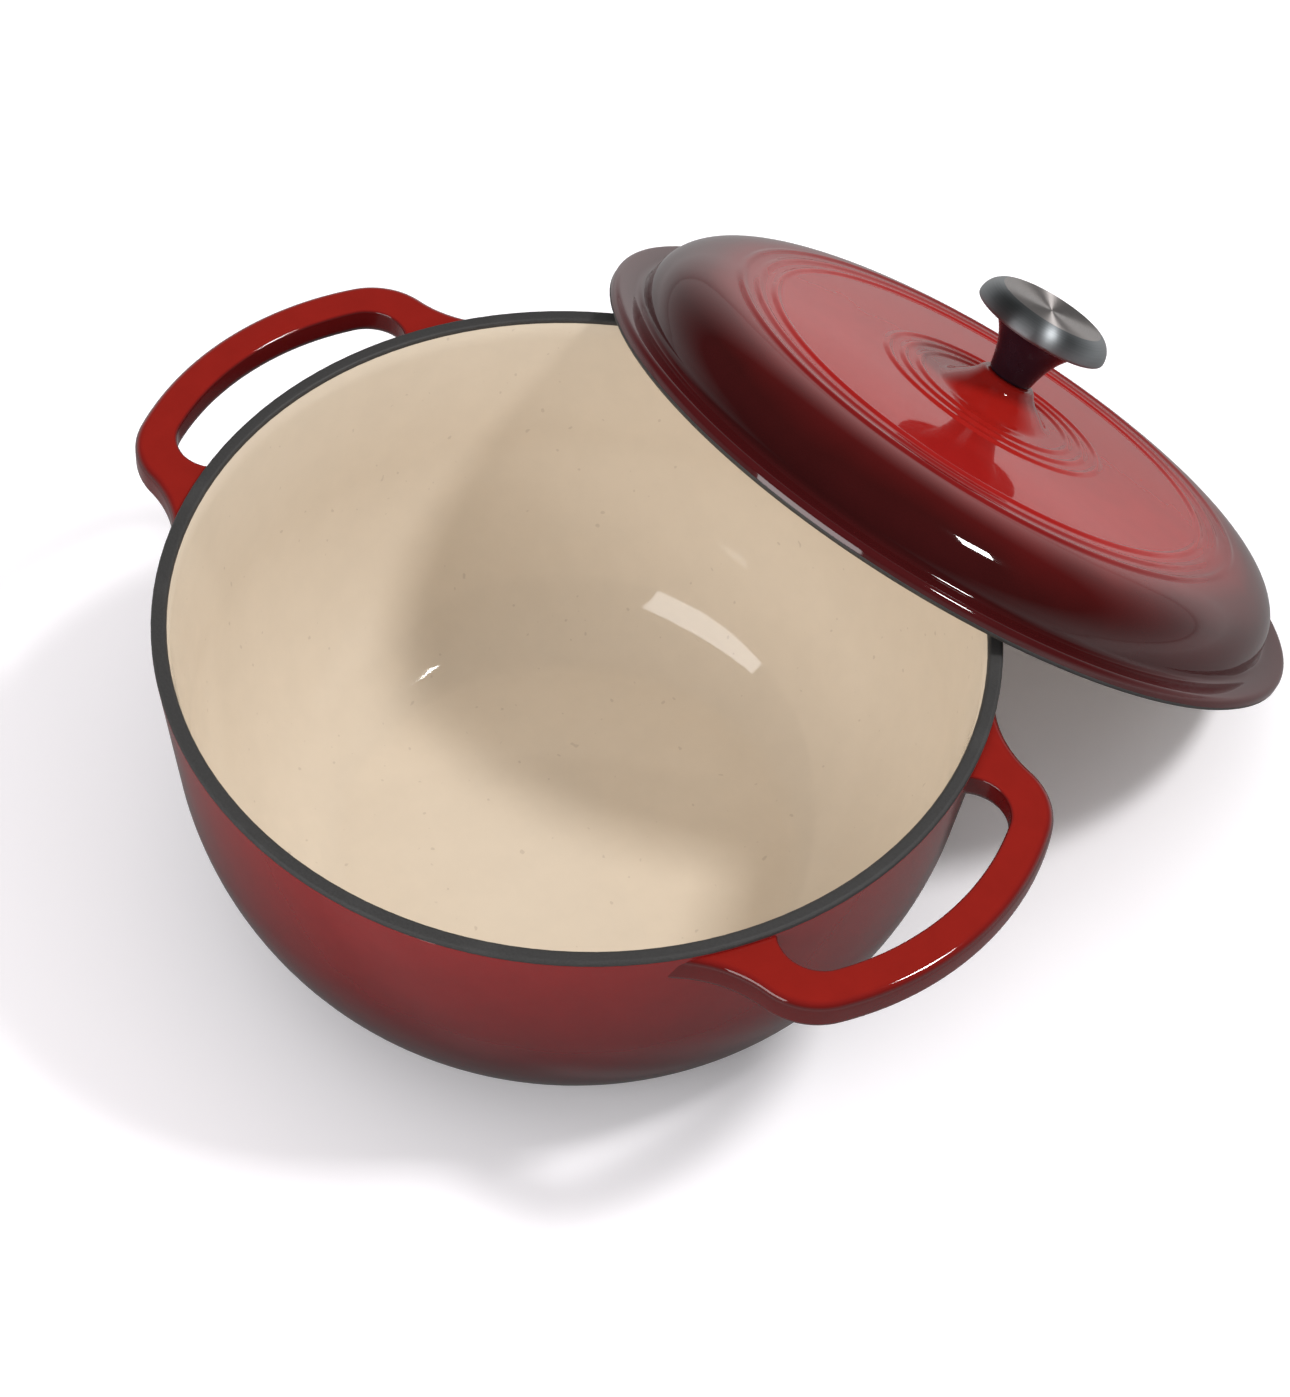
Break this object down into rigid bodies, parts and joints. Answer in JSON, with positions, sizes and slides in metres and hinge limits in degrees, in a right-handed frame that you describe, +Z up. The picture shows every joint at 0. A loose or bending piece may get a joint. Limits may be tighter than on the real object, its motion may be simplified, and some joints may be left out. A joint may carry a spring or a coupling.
{
  "type": "dutch oven",
  "caption": "Round enamelled cast iron dutch oven with loop handles; its domed, knobbed lid leans on the rim beside it.",
  "frame": {"origin": "centre of the pot's flat foot, on the pot's axis", "axes": "+Z up along the pot's axis, +X along the line through both handles"},
  "size_m": [0.336, 0.4146, 0.1634],
  "materials": {
    "cast_iron": "matte",
    "red_enamel": "gloss",
    "handle_enamel": "gloss",
    "cream_enamel": "gloss",
    "knob_steel": "satin",
    "fastener_steel": "satin"
  },
  "bodies": {
    "pot": {"pot_casting": "cast_iron", "pot_outer_enamel": "red_enamel", "pot_inner_enamel": "cream_enamel", "handle_right": "handle_enamel", "handle_left": "handle_enamel"},
    "lid": {"lid_casting": "cast_iron", "lid_outer_enamel": "red_enamel", "lid_inner_enamel": "cream_enamel", "knob": "knob_steel", "knob_screw": "fastener_steel", "flat_washer": "fastener_steel", "lock_washer": "fastener_steel"}
  },
  "joints": [
    {"name": "lid_lift", "type": "slide", "parent": "pot", "child": "lid", "axis": [0, 0, 1], "range_m": [0, 0.15]}
  ]
}
